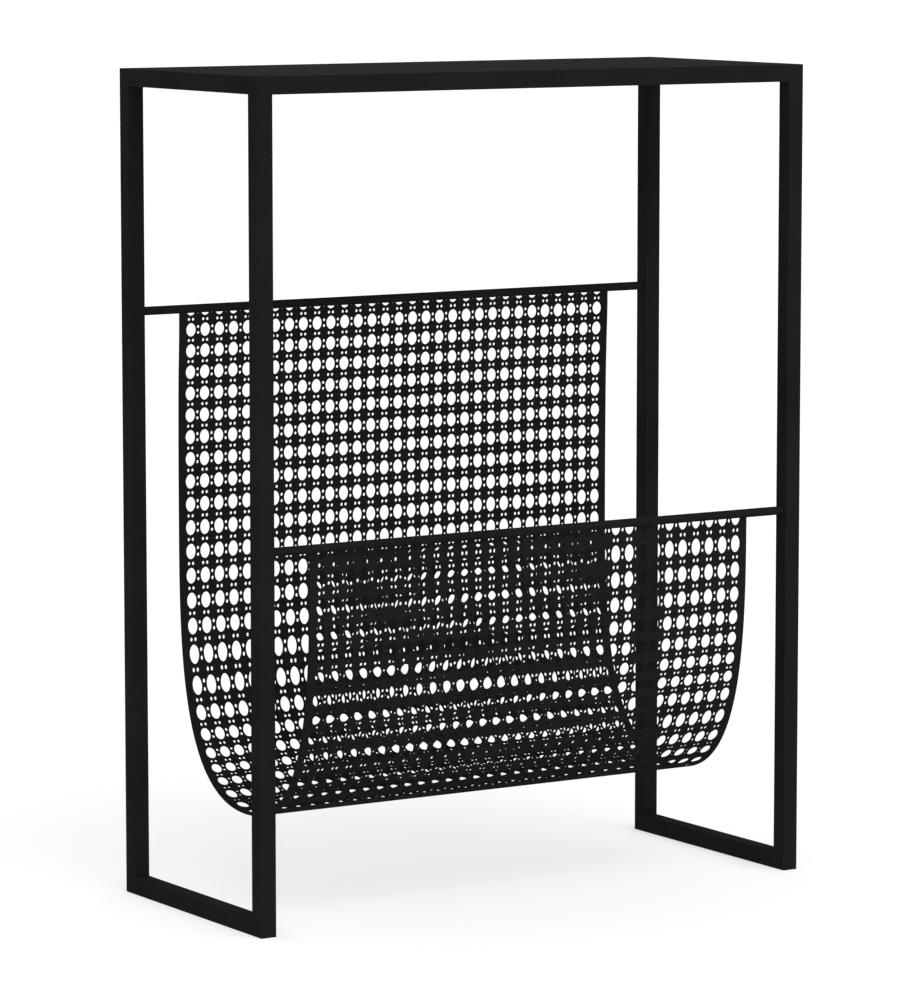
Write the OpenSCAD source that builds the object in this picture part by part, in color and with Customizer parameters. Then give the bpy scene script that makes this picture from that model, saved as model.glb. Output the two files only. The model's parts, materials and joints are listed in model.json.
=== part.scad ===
// Magazine rack: welded square-tube frame with a flush top panel and a
// sling of perforated sheet that hangs between two round rods.
// Millimetres. Origin on the floor under the centre of the frame:
// +X to the right along the length, +Y to the back, +Z up.

/* [Frame] */
// Length of the rack over both side frames
overall_w = 440; // [400:10:600]
// Depth of the side frames, front to back
overall_d = 186; // [180:2:196]
// Height from the floor to the top surface
overall_h = 570; // [540:10:700]
// Outer width of the square tube
tube_w = 12; // [12:1:14]
// Wall thickness of the square tube
tube_wall = 1; // [0.8:0.1:1.5]
// Radius on the long edges of the square tube
tube_edge_r = 0.6; // [0.4:0.1:1]

/* [Top panel] */
// Sheet thickness of the top panel
panel_t = 1; // [0.8:0.1:2]
// Height of the panel's folded flanges, sheet included
panel_flange_h = 10; // [6:1:12]

/* [Rods] */
// Diameter of the rods that carry the sling
rod_d = 6; // [5:0.5:8]
// Height of the rear rod's axis
rear_rod_z = 404; // [390:2:430]
// Height of the front rod's axis
front_rod_z = 257; // [240:1:280]
// Gap between a rod's end and the post's outer wall
rod_end_gap = 0.5; // [0.3:0.1:2]

/* [Sling] */
// Width of the sheet along the rods
sling_w = 356; // [300:2:370]
// Sheet thickness
sling_t = 0.8; // [0.6:0.1:1.2]
// How far the rear panel bulges out behind the rear rod's axis
belly_out = 2.4; // [0:0.4:3.2]
// Height of that bulge
belly_z = 255; // [245:1:290]
// Height of the lowest point, at the middle of the sheet
low_z = 65.5; // [50:0.5:90]
// How far the lowest point lies in front of the centre
low_forward = 2; // [0:1:12]
// Flat pieces along each of the three curves that make the U
curve_steps = 18; // [8:2:30]

/* [Hidden] */

LEFT = -1;
RIGHT = 1;
FRONT = -1;
REAR = 1;

// Pull of each curve at its ends: a longer pull makes a fuller corner
rear_top_pull = 42;
belly_up_pull = 130;
belly_down_pull = 82;
low_rear_pull = 92;
low_front_pull = 84;
front_top_pull = 84;

post_x = overall_w / 2 - tube_w / 2;
post_y = overall_d / 2 - tube_w / 2;
inner_w = overall_w - 2 * tube_w;
inner_d = overall_d - 2 * tube_w;
rail_z = overall_h - tube_w / 2;
rod_len = overall_w - 2 * tube_wall - 2 * rod_end_gap;
coat = [0.12, 0.12, 0.12];
top_coat = [0.17, 0.17, 0.17];
round_fn = 48;

// Square with rounded corners, centred
module rounded_square(side, r) {
    straight = side - 2 * r;
    square([side, straight], center = true);
    square([straight, side], center = true);
    for (sx = [-1, 1])
        for (sy = [-1, 1])
            translate([sx * straight / 2, sy * straight / 2])
                circle(r = r, $fn = round_fn);
}

// Cross-section of the square tube, centred
module tube_section() {
    difference() {
        rounded_square(tube_w, tube_edge_r);
        square(tube_w - 2 * tube_wall, center = true);
    }
}

// Tube along +Z from the origin, mitred at both ends: its -Y side keeps the
// full length and its +Y side is one tube width shorter at each end
module mitred_tube(length) {
    half = tube_w / 2;
    intersection() {
        linear_extrude(height = length)
            tube_section();
        rotate([90, 0, 90])
            linear_extrude(height = 2 * tube_w, center = true)
                polygon([
                    [-half, 0],
                    [half, tube_w],
                    [half, length - tube_w],
                    [-half, length]
                ]);
    }
}

// Upright of a side frame, with the hole in its inner wall for the rod's end
module post(side, end) {
    rod_z = end == FRONT ? front_rod_z : rear_rod_z;
    color(coat)
        difference() {
            translate([side * post_x, end * post_y, 0])
                mirror([0, end == REAR ? 1 : 0, 0])
                    mitred_tube(overall_h);
            translate([side * (inner_w + tube_wall) / 2, end * post_y, rod_z])
                rotate([0, 90, 0])
                    cylinder(h = 3 * tube_wall, d = rod_d, center = true, $fn = round_fn);
        }
}

// Bottom bar of a side frame: it lies on the floor
module foot_rail(side) {
    color(coat)
        translate([side * post_x, overall_d / 2, tube_w / 2])
            rotate([90, 0, 0])
                mitred_tube(overall_d);
}

// Top bar of a side frame
module side_top_rail(side) {
    color(coat)
        translate([side * post_x, -overall_d / 2, rail_z])
            rotate([-90, 0, 0])
                mitred_tube(overall_d);
}

// Straight bar that joins the side frames at the top
module long_top_rail(end) {
    color(coat)
        translate([0, end * post_y, rail_z])
            rotate([0, 90, 0])
                linear_extrude(height = inner_w, center = true)
                    tube_section();
}

// Sheet with four folded flanges, set flush between the top bars
module top_panel() {
    hollow_h = panel_flange_h - panel_t;
    color(top_coat)
        translate([-inner_w / 2, -inner_d / 2, overall_h - panel_flange_h])
            difference() {
                cube([inner_w, inner_d, panel_flange_h]);
                translate([panel_t, panel_t, -panel_t])
                    cube([
                        inner_w - 2 * panel_t,
                        inner_d - 2 * panel_t,
                        hollow_h + panel_t
                    ]);
            }
}

// Round bar between two posts, its ends inside the posts' inner walls
module rod(end, z) {
    color(coat)
        translate([0, end * post_y, z])
            rotate([0, 90, 0])
                cylinder(h = rod_len, d = rod_d, center = true, $fn = round_fn);
}

// Point at t, from 0 to 1, on the cubic curve with control points p
function bezier(p, t) =
    pow(1 - t, 3) * p[0]
    + 3 * pow(1 - t, 2) * t * p[1]
    + 3 * (1 - t) * t * t * p[2]
    + pow(t, 3) * p[3];

// Direction of that curve at t, as a unit vector
function bezier_dir(p, t) =
    let (
        d = pow(1 - t, 2) * (p[1] - p[0])
            + 2 * (1 - t) * t * (p[2] - p[1])
            + t * t * (p[3] - p[2])
    )
    d / norm(d);

// Side view of the sheet's mid-line as [y, z]: down from the rear rod to the
// bulge, round to the lowest point, and up to the front rod
rear_top = [post_y, rear_rod_z];
belly = [post_y + belly_out, belly_z];
low = [-low_forward, low_z];
front_top = [-post_y, front_rod_z];
sling_curves = [
    [rear_top, rear_top - [0, rear_top_pull], belly + [0, belly_up_pull], belly],
    [belly, belly - [0, belly_down_pull], low + [low_rear_pull, 0], low],
    [low, low - [low_front_pull, 0], front_top - [0, front_top_pull], front_top]
];

// One face of the sheet in side view, offset sideways from the mid-line
function sling_face(offset) = [
    for (c = sling_curves)
        for (i = [0 : curve_steps])
            if (i > 0 || c == sling_curves[0])
                let (d = bezier_dir(c, i / curve_steps))
                bezier(c, i / curve_steps) + offset * [-d[1], d[0]]
];

// Sheet bent to a U, its two upper edges fitted to the rods
module sling() {
    inner = sling_face(-sling_t / 2);
    outer = sling_face(sling_t / 2);
    last = len(outer) - 1;
    reversed_outer = [for (i = [last : -1 : 0]) outer[i]];
    color(coat)
        difference() {
            rotate([90, 0, 90])
                linear_extrude(height = sling_w, center = true)
                    polygon(concat(inner, reversed_outer));
            rod(REAR, rear_rod_z);
            rod(FRONT, front_rod_z);
        }
}

post(LEFT, FRONT);  // left_front_post
post(LEFT, REAR);  // left_rear_post
foot_rail(LEFT);  // left_foot_rail
side_top_rail(LEFT);  // left_top_rail
post(RIGHT, FRONT);  // right_front_post
post(RIGHT, REAR);  // right_rear_post
foot_rail(RIGHT);  // right_foot_rail
side_top_rail(RIGHT);  // right_top_rail
long_top_rail(FRONT);  // front_top_rail
long_top_rail(REAR);  // rear_top_rail
top_panel();
rod(FRONT, front_rod_z);  // front_rod
rod(REAR, rear_rod_z);  // rear_rod
sling();
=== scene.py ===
import json
import math

import bmesh
import bpy
import numpy as np
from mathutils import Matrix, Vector
from mathutils.geometry import delaunay_2d_cdt


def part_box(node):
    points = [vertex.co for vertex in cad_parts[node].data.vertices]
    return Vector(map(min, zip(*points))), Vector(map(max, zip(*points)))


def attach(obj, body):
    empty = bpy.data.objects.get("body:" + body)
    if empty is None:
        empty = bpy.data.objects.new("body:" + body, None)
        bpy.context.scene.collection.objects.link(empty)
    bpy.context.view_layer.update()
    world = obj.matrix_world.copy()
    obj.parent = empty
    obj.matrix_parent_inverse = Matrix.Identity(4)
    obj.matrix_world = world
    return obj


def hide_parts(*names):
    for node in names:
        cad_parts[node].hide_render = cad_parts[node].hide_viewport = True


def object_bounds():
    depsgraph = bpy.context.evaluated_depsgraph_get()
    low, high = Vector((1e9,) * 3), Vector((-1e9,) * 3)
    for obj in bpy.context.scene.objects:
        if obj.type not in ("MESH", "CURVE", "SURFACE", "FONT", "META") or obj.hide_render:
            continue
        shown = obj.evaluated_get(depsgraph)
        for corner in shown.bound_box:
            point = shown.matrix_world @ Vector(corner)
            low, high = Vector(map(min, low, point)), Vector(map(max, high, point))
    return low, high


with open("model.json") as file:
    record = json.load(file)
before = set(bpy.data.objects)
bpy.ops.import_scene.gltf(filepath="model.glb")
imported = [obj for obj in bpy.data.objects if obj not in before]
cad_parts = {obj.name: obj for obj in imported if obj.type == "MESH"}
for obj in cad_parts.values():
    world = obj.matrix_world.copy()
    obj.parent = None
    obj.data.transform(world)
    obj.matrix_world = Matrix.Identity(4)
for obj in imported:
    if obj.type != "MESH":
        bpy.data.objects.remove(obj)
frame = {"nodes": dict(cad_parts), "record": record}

MM = 0.001
FRONT, REAR = -1, 1
LEFT, RIGHT = -1, 1
cad_low, cad_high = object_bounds()

# --- Sizes read from the frame ------------------------------------------------------

rod_low, rod_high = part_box("rear_rod")
front_rod_low, front_rod_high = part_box("front_rod")
rail_low, rail_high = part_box("front_top_rail")
sling_low, sling_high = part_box("sling")


def side_centre(low, high):
    """Centre of a box in side view, as [y, z]."""
    return np.array([(low[1] + high[1]) / 2, (low[2] + high[2]) / 2])


ROD_R = (rod_high[2] - rod_low[2]) / 2
RODS = {FRONT: side_centre(front_rod_low, front_rod_high), REAR: side_centre(rod_low, rod_high)}
TUBE_W = rail_high[2] - rail_low[2]
INNER_X = rail_high[0]
HALF_DEPTH = cad_high[1]
TOP_Z = cad_high[2]
SHEET_W = sling_high[0] - sling_low[0]

# --- Sizes shared with the CAD part -------------------------------------------------

TUBE_EDGE_R = 0.6 * MM
SHEET_T = 0.8 * MM
# The sling's mid-line in side view as [y, z]: three cubic curves that meet at the
# bulge of the back and at the lowest point, and how far each one pulls at its ends
BELLY = np.array([RODS[REAR][0] + 2.4 * MM, 255 * MM])
LOW = np.array([-2 * MM, sling_low[2] + SHEET_T / 2])
REAR_TOP_PULL = 42 * MM
BELLY_UP_PULL = 130 * MM
BELLY_DOWN_PULL = 82 * MM
LOW_REAR_PULL = 92 * MM
LOW_FRONT_PULL = 84 * MM
FRONT_TOP_PULL = 84 * MM
CURVE_STEPS = 400

# --- Sizes of the cane pattern ------------------------------------------------------

COLUMNS = 31
COLUMN_PITCH = 11.25 * MM
ROWS = 39
# Hole sizes and places as shares of the column pitch and of the local row pitch
OVAL_HALF = (0.338, 0.317)
DOT_HALF = (0.092, 0.07)
DOT_SHIFT = (0.144, 0.14)
OVAL_SIDES = 24
DOT_SIDES = 12
# Points added to each row's outer edge, so that the sheet's outline bends smoothly
EDGE_POINTS = 7
# The first row lies just under the rear rod's axis, the last a little before the front rod's
FIRST_ROW = 0.2 * MM
LAST_ROW = 1.6 * MM
# Row spacing at a few rows counted from the rear rod, in mm. The pattern opens out
# down the back, closes up round the bend and opens out again up the front
ROW_PITCHES = (
    (0, 14.5), (7, 15.5), (14, 18), (15.5, 23), (17.5, 15.5), (20.5, 11),
    (22.5, 17), (28, 14), (30.5, 19), (31.5, 12.5), (39, 20),
)
ROW_SAMPLES = 40
# A hole's wall is shaded round where its facets meet at less than twice this angle
HOLE_SHARP = math.radians(25)
# The sheet is made as two pieces that meet along this row
MEETING_ROW = 19.5

# Tolerances in pitches: for a point on a cell's border, and for two points in one place
BORDER_SLACK = 1e-6
POINT_SLACK = 1e-7
# Points of neighbouring cells are merged where they round to the same step
STEPS_PER_PITCH = 1e5

# --- Sizes of the welds -------------------------------------------------------------

ROD_WELD = 0.9 * MM
ARC_STEPS = 6
ROUND_SIDES = 48
WELD_SHARP = math.radians(40)

# --- Looks of the powder coat -------------------------------------------------------

BLACK = (0.0099, 0.0099, 0.0101)
SPECULAR = 0.012
TUBE_ROUGHNESS = 0.92
ROD_ROUGHNESS = 0.9
# Noise sizes in features per metre: broad clouds, and the fine grain of the powder
CLOUD_SCALE = 18
GRAIN_SCALE = 1600
# The part of a noise's range that is spread over the looks' own ranges
NOISE_RANGE = (0.3, 0.7)
CLOUD_SHADE = (0.88, 1.12)
GRAIN_SHADE = (0.75, 1.25)
ROUGHNESS_SPREAD = 0.06
GRAIN_STRENGTH = 0.7
GRAIN_DEPTH = 0.1 * MM

# --- Studio -------------------------------------------------------------------------

FLOOR_HALF = 45
FLOOR_TONE = 0.45
FLOOR_GLOW = 0.5
FLOOR_ROUGHNESS = 0.9
WORLD_STRENGTH = 1.0
# The sun is wide and soft, and shines from the front, 45 degrees up. Angles in degrees
SUN_STRENGTH = 1.45
SUN_SPREAD = 60
SUN_TILT = (45, -3)
CAMERA_PLACE = (-1.828, -2.864, 0.688)
CAMERA_TURN = 32.51
CAMERA_DOWN = 7.03
LENS = 177.1
SENSOR_W = 36


# --- The sling's mid-line -----------------------------------------------------------

def bezier(p0, p1, p2, p3):
    """Points along one cubic curve, CURVE_STEPS of them, its end left out."""
    t = (np.arange(CURVE_STEPS) / CURVE_STEPS)[:, None]
    return (1 - t) ** 3 * p0 + 3 * (1 - t) ** 2 * t * p1 + 3 * (1 - t) * t * t * p2 + t ** 3 * p3


def midline():
    """The sheet's mid-line in side view, from the rear rod to the front rod, as [y, z]."""
    up = np.array([0.0, 1.0])
    back = np.array([1.0, 0.0])
    rear, front = RODS[REAR], RODS[FRONT]
    return np.vstack([
        bezier(rear, rear - REAR_TOP_PULL * up, BELLY + BELLY_UP_PULL * up, BELLY),
        bezier(BELLY, BELLY - BELLY_DOWN_PULL * up, LOW + LOW_REAR_PULL * back, LOW),
        bezier(LOW, LOW - LOW_FRONT_PULL * back, front - FRONT_TOP_PULL * up, front),
        [front],
    ])


LINE = midline()
LINE_S = np.concatenate([[0], np.cumsum(np.linalg.norm(np.diff(LINE, axis=0), axis=1))])
LINE_DIR = np.gradient(LINE, LINE_S, axis=0)


def row_to_length(v):
    """Distance along the mid-line of a place given in rows from the rear rod."""
    rows = np.linspace(0, ROWS, ROWS * ROW_SAMPLES + 1)
    at, pitch = np.array(ROW_PITCHES).T
    local = np.interp(rows, at, pitch)
    length = np.concatenate([[0], np.cumsum(local[1:] + local[:-1])])
    length *= (LINE_S[-1] - FIRST_ROW - LAST_ROW) / length[-1]
    return np.interp(v, rows, FIRST_ROW + length)


def on_sheet(x, v, face):
    """Points and outward normals on one face of the sheet: 1 inside the pocket, -1 outside."""
    s = row_to_length(v)
    middle = np.stack([np.interp(s, LINE_S, LINE[:, k]) for k in (0, 1)], 1)
    along = np.stack([np.interp(s, LINE_S, LINE_DIR[:, k]) for k in (0, 1)], 1)
    along /= np.linalg.norm(along, axis=1)[:, None]
    normal = np.stack([along[:, 1], -along[:, 0]], 1) * face
    points = np.column_stack([x, middle + normal * SHEET_T / 2])
    return points, np.column_stack([np.zeros(len(x)), normal])


# --- The perforated sheet -----------------------------------------------------------

def ring(centre, half, sides):
    """Corners of a hole, as a polygon that has corners on both of its axes."""
    angles = np.arange(sides) * 2 * math.pi / sides
    return np.array(centre) + np.array(half) * np.column_stack([np.cos(angles), np.sin(angles)])


def cell_holes(dot_sides):
    """Holes in or on the border of one cell, as centre, half sizes and number of sides."""
    holes = [((0, 0), OVAL_HALF, OVAL_SIDES)]
    for sign in (-1, 1):
        for end in (-0.5, 0.5):
            holes.append(((sign * DOT_SHIFT[0], end), DOT_HALF, DOT_SIDES))
        for side in dot_sides:
            holes.append(((0.5 * side, sign * DOT_SHIFT[1]), DOT_HALF, DOT_SIDES))
    return holes


def in_hole(place, hole):
    """Whether a place lies inside one hole's ellipse."""
    centre, half, _ = hole
    return sum(((place[k] - centre[k]) / half[k]) ** 2 for k in (0, 1)) < 1


def cell(u_low, u_high, v_low, v_high, dot_sides):
    """One cell of the pattern round an oval at (0, 0), in pitches, as points and triangles.
    A side of the cell, -1 or 1, has dots on it, or else it is the sheet's outer edge."""
    low = np.array([u_low, v_low])
    high = np.array([u_high, v_high])
    points = [[u_low, v_low], [u_high, v_low], [u_high, v_high], [u_low, v_high]]
    for side, u in ((LEFT, u_low), (RIGHT, u_high)):
        if side not in dot_sides:
            points += [[u, v] for v in np.linspace(v_low, v_high, EDGE_POINTS + 2)[1:-1]]
    edges = []
    holes = cell_holes(dot_sides)
    for centre, half, sides in holes:
        loop = ring(centre, half, sides)
        inside = np.all((loop > low - BORDER_SLACK) & (loop < high + BORDER_SLACK), axis=1)
        index = {}
        for i in np.flatnonzero(inside):
            index[i] = len(points)
            points.append(np.clip(loop[i], low, high))
        edges += [(index[i], index[(i + 1) % sides]) for i in index if (i + 1) % sides in index]
    made = delaunay_2d_cdt([Vector(p) for p in points], edges, [], 0, POINT_SLACK)
    points = np.array(made[0])
    kept = [
        triangle for triangle in made[2]
        if not any(in_hole(points[list(triangle)].mean(axis=0), hole) for hole in holes)
    ]
    return points, np.array(kept)


def pattern(first, last):
    """The flat sheet between two rows: points as (x in metres, row) and triangles."""
    edge_share = (SHEET_W / COLUMN_PITCH - (COLUMNS - 1)) / 2
    cells = {}
    points, triangles = [], []
    count = 0
    for row in range(math.floor(first + 0.5), math.ceil(last + 0.5)):
        v_low = max(first, row - 0.5) - row
        v_high = min(last, row + 0.5) - row
        for column in range(COLUMNS):
            dot_sides = [side for side, end in ((LEFT, 0), (RIGHT, COLUMNS - 1)) if column != end]
            key = (*dot_sides, v_low, v_high)
            if key not in cells:
                u_low = -0.5 if LEFT in dot_sides else -edge_share
                u_high = 0.5 if RIGHT in dot_sides else edge_share
                cells[key] = cell(u_low, u_high, v_low, v_high, dot_sides)
            cell_points, cell_triangles = cells[key]
            points.append(cell_points + [column - (COLUMNS - 1) / 2, row])
            triangles.append(cell_triangles + count)
            count += len(cell_points)
    points = np.vstack(points)
    rounded = np.round(points * STEPS_PER_PITCH).astype(np.int64)
    _, keep, where = np.unique(rounded, axis=0, return_index=True, return_inverse=True)
    return points[keep] * [COLUMN_PITCH, 1], where.ravel()[np.vstack(triangles)]


def open_edges(triangles):
    """The directed edges that only one triangle has."""
    edges = np.vstack([triangles[:, [0, 1]], triangles[:, [1, 2]], triangles[:, [2, 0]]])
    size = triangles.max() + 1
    there = edges[:, 0] * size + edges[:, 1]
    back = edges[:, 1] * size + edges[:, 0]
    return edges[~np.isin(there, back)]


def new_piece(name, mesh, coat):
    """An object of the mesh that rides on the rack and has one of its finishes."""
    piece = bpy.data.objects.new(name, mesh)
    bpy.context.collection.objects.link(piece)
    mesh.materials.append(coat)
    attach(piece, "root")
    return piece


def wall_normals(walls, corners):
    """Normals at the corners of four-sided walls, shaded round where the walls meet gently."""
    flat_normals = np.repeat([wall.normal for wall in walls], 4, axis=0)
    round_normals = np.zeros((corners.max() + 1, 3))
    np.add.at(round_normals, corners, flat_normals)
    round_normals = round_normals[corners]
    round_normals /= np.linalg.norm(round_normals, axis=1)[:, None]
    is_round = np.sum(round_normals * flat_normals, axis=1) > math.cos(HOLE_SHARP)
    return np.where(is_round[:, None], round_normals, flat_normals)


def perforated_sheet(name, first, last, coat):
    """A closed shell of the perforated sheet between two places given in rows."""
    flat, triangles = pattern(first, last)
    inner, inner_normals = on_sheet(flat[:, 0], flat[:, 1], 1)
    outer, outer_normals = on_sheet(flat[:, 0], flat[:, 1], -1)
    count = len(flat)
    start, end = open_edges(triangles).T
    faces = triangles.tolist() + (triangles[:, ::-1] + count).tolist()
    faces += np.column_stack([end, start, start + count, end + count]).tolist()
    mesh = bpy.data.meshes.new(name)
    mesh.from_pydata(np.vstack([inner, outer]).tolist(), [], faces)
    mesh.update()
    if mesh.polygons[0].normal.dot(Vector(inner_normals[faces[0][0]])) < 0:
        mesh.flip_normals()
    corners = np.empty(len(mesh.loops), dtype=np.int64)
    mesh.loops.foreach_get("vertex_index", corners)
    normals = np.vstack([inner_normals, outer_normals])[corners]
    walls = mesh.polygons[2 * len(triangles):]
    first_wall_corner = walls[0].loop_start
    normals[first_wall_corner:] = wall_normals(walls, corners[first_wall_corner:])
    mesh.normals_split_custom_set(normals.tolist())
    piece = new_piece(name, mesh, coat)
    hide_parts("sling")


# --- Welds --------------------------------------------------------------------------

def hollow_corner(size):
    """Section of a small hollow fillet that fills the corner at (0, 0)."""
    turns = np.linspace(0, math.pi / 2, ARC_STEPS + 1)
    return [(0, 0)] + [(size * (1 - math.sin(t)), size * (1 - math.cos(t))) for t in turns]


def swept_mesh(name, rings, closed):
    """A solid through equal rings of points, which closes on itself or has flat ends."""
    made = bmesh.new()
    loops = [[made.verts.new(point) for point in points] for points in rings]
    following = loops[1:] + loops[:1] if closed else loops[1:]
    for here, after in zip(loops, following):
        for k in range(len(here)):
            made.faces.new((here[k - 1], here[k], after[k], after[k - 1]))
    if not closed:
        made.faces.new(loops[0])
        made.faces.new(loops[-1])
    bmesh.ops.recalc_face_normals(made, faces=made.faces)
    mesh = bpy.data.meshes.new(name)
    made.to_mesh(mesh)
    made.free()
    mesh.shade_smooth()
    mesh.set_sharp_from_angle(angle=WELD_SHARP)
    return mesh


def rod_weld(side, end):
    """Rings of a fillet round a rod where it enters a post's inner wall."""
    y, z = RODS[end]
    rings = []
    for turn in np.arange(ROUND_SIDES) * 2 * math.pi / ROUND_SIDES:
        across, up = math.cos(turn), math.sin(turn)
        rings.append([
            (side * (INNER_X - out), y + (ROD_R + away) * across, z + (ROD_R + away) * up)
            for out, away in hollow_corner(ROD_WELD)
        ])
    return rings


def rail_weld(side, end):
    """Rings of the weld, ground flush, that fills the groove between a long top rail's end
    and the rounded edge of the side frame: along the top, round the corner, down the face."""
    section = [(side * (INNER_X + out), deep) for out, deep in hollow_corner(TUBE_EDGE_R)]
    return [
        [(x, end * (HALF_DEPTH - TUBE_W), TOP_Z - deep) for x, deep in section],
        [(x, end * (HALF_DEPTH - deep), TOP_Z - deep) for x, deep in section],
        [(x, end * (HALF_DEPTH - deep), TOP_Z - TUBE_W) for x, deep in section],
    ]


# --- Materials ----------------------------------------------------------------------

def powder_coat(name, roughness):
    """Matt powder coat: a fine pebbled skin, speckled and slightly uneven in tone and gloss."""
    material = bpy.data.materials.new(name)
    material.use_nodes = True
    nodes, links = material.node_tree.nodes, material.node_tree.links
    shader = nodes["Principled BSDF"]
    shader.inputs["Specular IOR Level"].default_value = SPECULAR
    place = nodes.new("ShaderNodeTexCoord")

    def noise(scale, detail):
        """Noise of a given number of features per metre."""
        made = nodes.new("ShaderNodeTexNoise")
        made.inputs["Scale"].default_value = scale
        made.inputs["Detail"].default_value = detail
        links.new(place.outputs["Object"], made.inputs["Vector"])
        return made

    def spread(source, low, high):
        """A noise's values spread from low to high."""
        made = nodes.new("ShaderNodeMapRange")
        made.inputs["From Min"].default_value = NOISE_RANGE[0]
        made.inputs["From Max"].default_value = NOISE_RANGE[1]
        made.inputs["To Min"].default_value = low
        made.inputs["To Max"].default_value = high
        links.new(source.outputs["Fac"], made.inputs["Value"])
        return made.outputs["Result"]

    cloud = noise(CLOUD_SCALE, 3)
    grain = noise(GRAIN_SCALE, 2)

    shade = nodes.new("ShaderNodeMath")
    shade.operation = "MULTIPLY"
    links.new(spread(cloud, *CLOUD_SHADE), shade.inputs[0])
    links.new(spread(grain, *GRAIN_SHADE), shade.inputs[1])
    tone = nodes.new("ShaderNodeVectorMath")
    tone.operation = "SCALE"
    tone.inputs[0].default_value = BLACK
    links.new(shade.outputs["Value"], tone.inputs["Scale"])
    links.new(tone.outputs["Vector"], shader.inputs["Base Color"])

    gloss = spread(grain, roughness - ROUGHNESS_SPREAD, roughness + ROUGHNESS_SPREAD)
    links.new(gloss, shader.inputs["Roughness"])

    skin = nodes.new("ShaderNodeBump")
    skin.inputs["Strength"].default_value = GRAIN_STRENGTH
    skin.inputs["Distance"].default_value = GRAIN_DEPTH
    links.new(grain.outputs["Fac"], skin.inputs["Height"])
    links.new(skin.outputs["Normal"], shader.inputs["Normal"])
    return material


coats = {
    "frame_coat": powder_coat("frame_powder_coat", TUBE_ROUGHNESS),
    "top_coat": powder_coat("top_powder_coat", TUBE_ROUGHNESS),
    "rod_coat": powder_coat("rod_powder_coat", ROD_ROUGHNESS),
    "sling_coat": powder_coat("sling_powder_coat", TUBE_ROUGHNESS),
}
for entry in frame["record"]["subparts"]:
    for slot in frame["nodes"][entry["node"]].material_slots:
        slot.material = coats[entry["material_slot"]]

# --- Pieces -------------------------------------------------------------------------

perforated_sheet("sling_rear", 0, MEETING_ROW, coats["sling_coat"])
perforated_sheet("sling_front", MEETING_ROW, ROWS, coats["sling_coat"])

for side, side_name in ((LEFT, "left"), (RIGHT, "right")):
    for end, end_name in ((FRONT, "front"), (REAR, "rear")):
        corner = f"{side_name}_{end_name}"
        mesh = swept_mesh(f"{corner}_rod_weld", rod_weld(side, end), closed=True)
        new_piece(f"{corner}_rod_weld", mesh, coats["rod_coat"])
        mesh = swept_mesh(f"{corner}_rail_weld", rail_weld(side, end), closed=False)
        new_piece(f"{corner}_rail_weld", mesh, coats["frame_coat"])

# --- Studio -------------------------------------------------------------------------

floor_material = bpy.data.materials.new("studio_floor")
floor_material.use_nodes = True
floor_shader = floor_material.node_tree.nodes["Principled BSDF"]
floor_shader.inputs["Base Color"].default_value = (FLOOR_TONE, FLOOR_TONE, FLOOR_TONE, 1)
floor_shader.inputs["Emission Color"].default_value = (1, 1, 1, 1)
floor_shader.inputs["Emission Strength"].default_value = FLOOR_GLOW
floor_shader.inputs["Roughness"].default_value = FLOOR_ROUGHNESS
floor_shader.inputs["Specular IOR Level"].default_value = 0.0

floor_mesh = bpy.data.meshes.new("studio_floor")
round_the_floor = ((-1, -1), (1, -1), (1, 1), (-1, 1))
floor_corners = [(x * FLOOR_HALF, y * FLOOR_HALF, 0) for x, y in round_the_floor]
floor_mesh.from_pydata(floor_corners, [], [(0, 1, 2, 3)])
floor_mesh.materials.append(floor_material)
floor = bpy.data.objects.new("studio_floor", floor_mesh)
bpy.context.collection.objects.link(floor)

world = bpy.data.worlds.new("studio")
world.use_nodes = True
world.node_tree.nodes["Background"].inputs["Color"].default_value = (1, 1, 1, 1)
world.node_tree.nodes["Background"].inputs["Strength"].default_value = WORLD_STRENGTH
bpy.context.scene.world = world

sun_data = bpy.data.lights.new("studio_sun", "SUN")
sun_data.energy = SUN_STRENGTH
sun_data.angle = math.radians(SUN_SPREAD)
sun = bpy.data.objects.new("studio_sun", sun_data)
sun.rotation_euler = (math.radians(SUN_TILT[0]), math.radians(SUN_TILT[1]), 0)
bpy.context.collection.objects.link(sun)

camera_data = bpy.data.cameras.new("camera")
camera_data.sensor_width = SENSOR_W
camera_data.lens = LENS
camera = bpy.data.objects.new("camera", camera_data)
camera.location = CAMERA_PLACE
camera.rotation_euler = (math.radians(90 - CAMERA_DOWN), 0, math.radians(-CAMERA_TURN))
bpy.context.collection.objects.link(camera)
bpy.context.scene.camera = camera
bpy.context.scene.view_settings.view_transform = "Standard"
